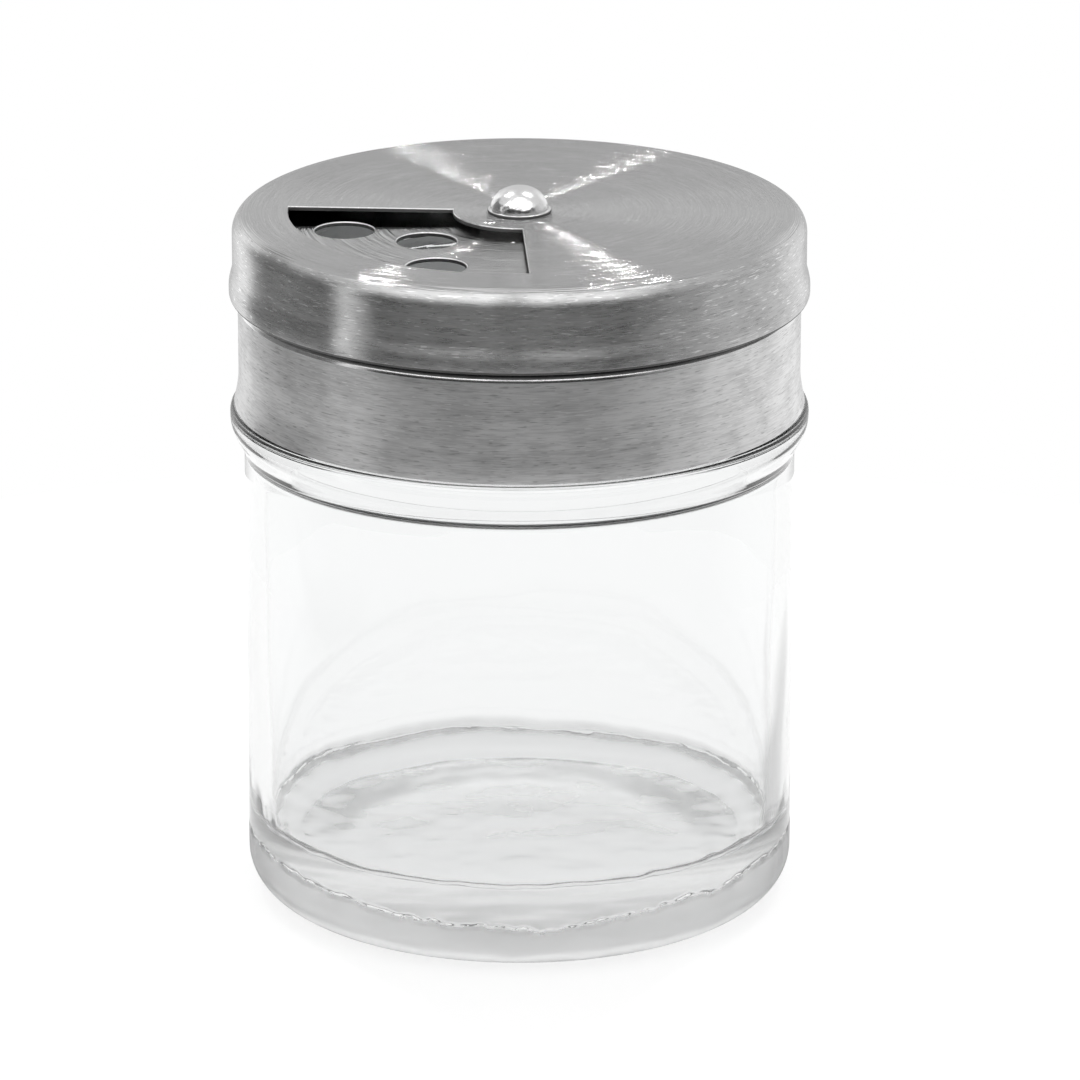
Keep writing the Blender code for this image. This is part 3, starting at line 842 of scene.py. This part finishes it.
def make_rivet():
    head_z = cover_z - CENTRE_DISH + HEAD_SEAT
    top_z = cover_z + FIT_GAP + HEAD_HEIGHT
    tail_z = back_washer_z - FIT_GAP
    rise = top_z - head_z - HEAD_BRIM
    steps = 3 * ROUND_STEPS
    dome = []
    for i in range(steps):
        a = pi / 2 * (1 - i / steps)
        dome.append((DOME_RADIUS * cos(a), head_z + HEAD_BRIM + rise * sin(a)))
    soft = HEAD_BRIM / 2
    outline = (
        [(0, top_z)]
        + dome[1:]
        + [(DOME_RADIUS, head_z + HEAD_BRIM)]
        + arc(HEAD_RADIUS - soft, head_z + soft, soft, 90, 0, ROUND_STEPS // 2)
        + arc(HEAD_RADIUS - soft / 2, head_z + soft / 2, soft / 2, 0, -90, SMALL_ROUND_STEPS)
        + [(PIN_RADIUS, head_z), (PIN_RADIUS, tail_z)]
        + arc(TAIL_RADIUS - TAIL_THICKNESS, tail_z, TAIL_THICKNESS, 0, -90)
        + [(0, tail_z - TAIL_THICKNESS)]
    )
    rivet = turned("rivet", outline, even("rivet_steel"), SMALL_COLUMNS)

    # Painted shade: the brim's faces under the head get near-black steel.
    def is_brim(at, way):
        return head_z - WELD_DISTANCE < at.z < head_z + HEAD_BRIM and way.z < BRIM_FACING

    coat_faces(rivet, even("painted_shade_steel"), is_brim)
    dress(rivet, "cap", "rivet_steel", "pivot_rivet")


def make_washer(name, node, low, width, thickness, mat, slot):
    """Bevelled washer round the rivet's pin."""
    outer, high, soft = pin_hole + width, low + thickness, WASHER_BEVEL
    outline = (
        arc(pin_hole + soft, low + soft, soft, 180, 270, SMALL_ROUND_STEPS)
        + arc(outer - soft, low + soft, soft, -90, 0, SMALL_ROUND_STEPS)
        + arc(outer - soft, high - soft, soft, 0, 90, SMALL_ROUND_STEPS)
        + arc(pin_hole + soft, high - soft, soft, 90, 180, SMALL_ROUND_STEPS)
    )
    dress(turned(name, outline, mat, SMALL_COLUMNS), "cap", slot, node)


def make_washers():
    make_washer("turn_washer", "turning_washer", turn_washer_z, TURN_WASHER_WIDTH,
                TURN_WASHER_THICKNESS, even("nylon"), "nylon")
    make_washer("back_washer", "rivet_washer", back_washer_z, BACK_WASHER_WIDTH,
                BACK_WASHER_THICKNESS, brushed("washer_steel"), "washer_steel")


# Stage, light and camera

def make_floor():
    """Pale floor. Metal and glass show it in tones of their own, by the kind of ray."""
    bm = bmesh.new()
    turns = [2 * pi * i / FLOOR_COLUMNS for i in range(FLOOR_COLUMNS)]
    bm.faces.new([bm.verts.new((FLOOR_RADIUS * cos(a), FLOOR_RADIUS * sin(a), -FLOOR_DROP))
                  for a in turns])
    mat = bpy.data.materials.new("floor_white")
    mat.use_nodes = True
    graph = Graph(mat.node_tree)
    graph.tree.nodes.clear()
    path = graph.add("ShaderNodeLightPath").outputs
    place = graph.add("ShaderNodeTexCoord").outputs["Object"]
    x, y, z = graph.add("ShaderNodeSeparateXYZ", {0: place}).outputs
    aside = graph.math("MULTIPLY_ADD", y, -PATCH_SLOPE, x)
    patch = graph.math("MULTIPLY", graph.span(aside, *PATCH_NEAR, 0.0, 1.0),
                       graph.span(x, *PATCH_FAR, 0.0, 1.0))
    patch = graph.math("MULTIPLY", patch, graph.span(y, *PATCH_START, 0.0, 1.0))
    through = graph.span(patch, 0.0, 1.0, THROUGH_GLOW, THROUGH_GLOW * PATCH_GREY)
    r = graph.radius(x, y)
    through = graph.math("MULTIPLY", through, graph.span(r, *FOOT_SHADE))
    through = graph.math("MULTIPLY", through, graph.span(r, *UNDER_SHADE))
    shine = graph.span(y, *SHINE_EDGE, FLOOR_SHINE, FLOOR_GLOW)
    direct = graph.math("MULTIPLY", path["Is Camera Ray"], FLOOR_GLOW)
    seen = graph.mix(path["Is Glossy Ray"], direct, shine)
    seen = graph.mix(path["Is Transmission Ray"], seen, through)
    tone = (FLOOR_TONE, FLOOR_TONE, FLOOR_TONE, 1)
    diffuse = graph.add("ShaderNodeBsdfDiffuse", {"Color": tone}).outputs[0]
    glow = graph.add("ShaderNodeEmission", {"Strength": seen}).outputs[0]
    both = graph.add("ShaderNodeAddShader", {0: diffuse, 1: glow}).outputs[0]
    graph.add("ShaderNodeOutputMaterial", {"Surface": both})
    finish_mesh("floor", bm, mat)


def make_world():
    """White to the camera. Metal and glass show a room with greys of its own."""
    world = bpy.data.worlds.new("studio")
    bpy.context.scene.world = world
    world.use_nodes = True
    graph = Graph(world.node_tree)
    graph.tree.nodes.clear()
    path = graph.add("ShaderNodeLightPath").outputs
    way = graph.add("ShaderNodeTexCoord").outputs["Generated"]
    x, y, z = graph.add("ShaderNodeSeparateXYZ", {0: way}).outputs
    turn = graph.span(graph.math("ARCTAN2", x, graph.math("MULTIPLY", y, -1.0)), -pi, pi, 0.0, 1.0)

    def ring(greys):
        """Grey by the way round from the camera."""
        ramp = graph.add("ShaderNodeValToRGB", {0: turn})
        elements = ramp.color_ramp.elements
        for degrees, grey in greys[1:-1]:
            elements.new((degrees + 180) / 360)
        for element, (degrees, grey) in zip(elements, greys):
            element.position = (degrees + 180) / 360
            element.color = (grey, grey, grey, 1)
        return ramp.outputs[0]

    overhead = graph.span(z, *CEILING_HEIGHTS, 0.0, 1.0)
    glossy = graph.mix(overhead, ring(ROOM_GREYS), ring(CEILING_GREYS))
    through = graph.mix(overhead, ring(THROUGH_GREYS), 1.0)
    grey = graph.mix(path["Is Glossy Ray"], ROOM_LIGHT, glossy)
    grey = graph.mix(path["Is Transmission Ray"], grey, through)
    grey = graph.mix(path["Is Camera Ray"], grey, 1.0)
    shader = graph.add("ShaderNodeBackground", {"Color": (1, 1, 1, 1), "Strength": grey}).outputs[0]
    graph.add("ShaderNodeOutputWorld", {"Surface": shader})


def make_lamp(name, way):
    light = bpy.data.lights.new(name, "AREA")
    light.shape = "RECTANGLE"
    light.size, light.size_y = LAMP_SIZE
    light.energy = LAMP_POWER
    obj = bpy.data.objects.new(name, light)
    obj.location = Vector(way) * LAMP_DISTANCE + Vector((0, 0, cover_z))
    obj.rotation_euler = (-Vector(way)).to_track_quat("-Z", "Y").to_euler()
    bpy.context.scene.collection.objects.link(obj)


def make_camera():
    data = bpy.data.cameras.new("camera")
    data.sensor_width = SENSOR
    data.lens = FOCAL_PIXELS / PICTURE_PIXELS * SENSOR
    data.shift_x = CAMERA_SHIFT
    obj = bpy.data.objects.new("camera", data)
    obj.location = (0, -CAMERA_DISTANCE * cos(CAMERA_PITCH),
                    LOOK_AT_Z + CAMERA_DISTANCE * sin(CAMERA_PITCH))
    obj.rotation_euler = (pi / 2 - CAMERA_PITCH, 0, 0)
    bpy.context.scene.collection.objects.link(obj)
    bpy.context.scene.camera = obj


make_camera()
make_world()
make_floor()
for number, way in enumerate(LAMP_WAYS):
    make_lamp(f"lamp_{number}", way)
make_jar()
make_seal()
make_liner()
make_cap()
make_cover()
make_rivet()
make_washers()

scene = bpy.context.scene
scene.view_settings.view_transform = "Standard"
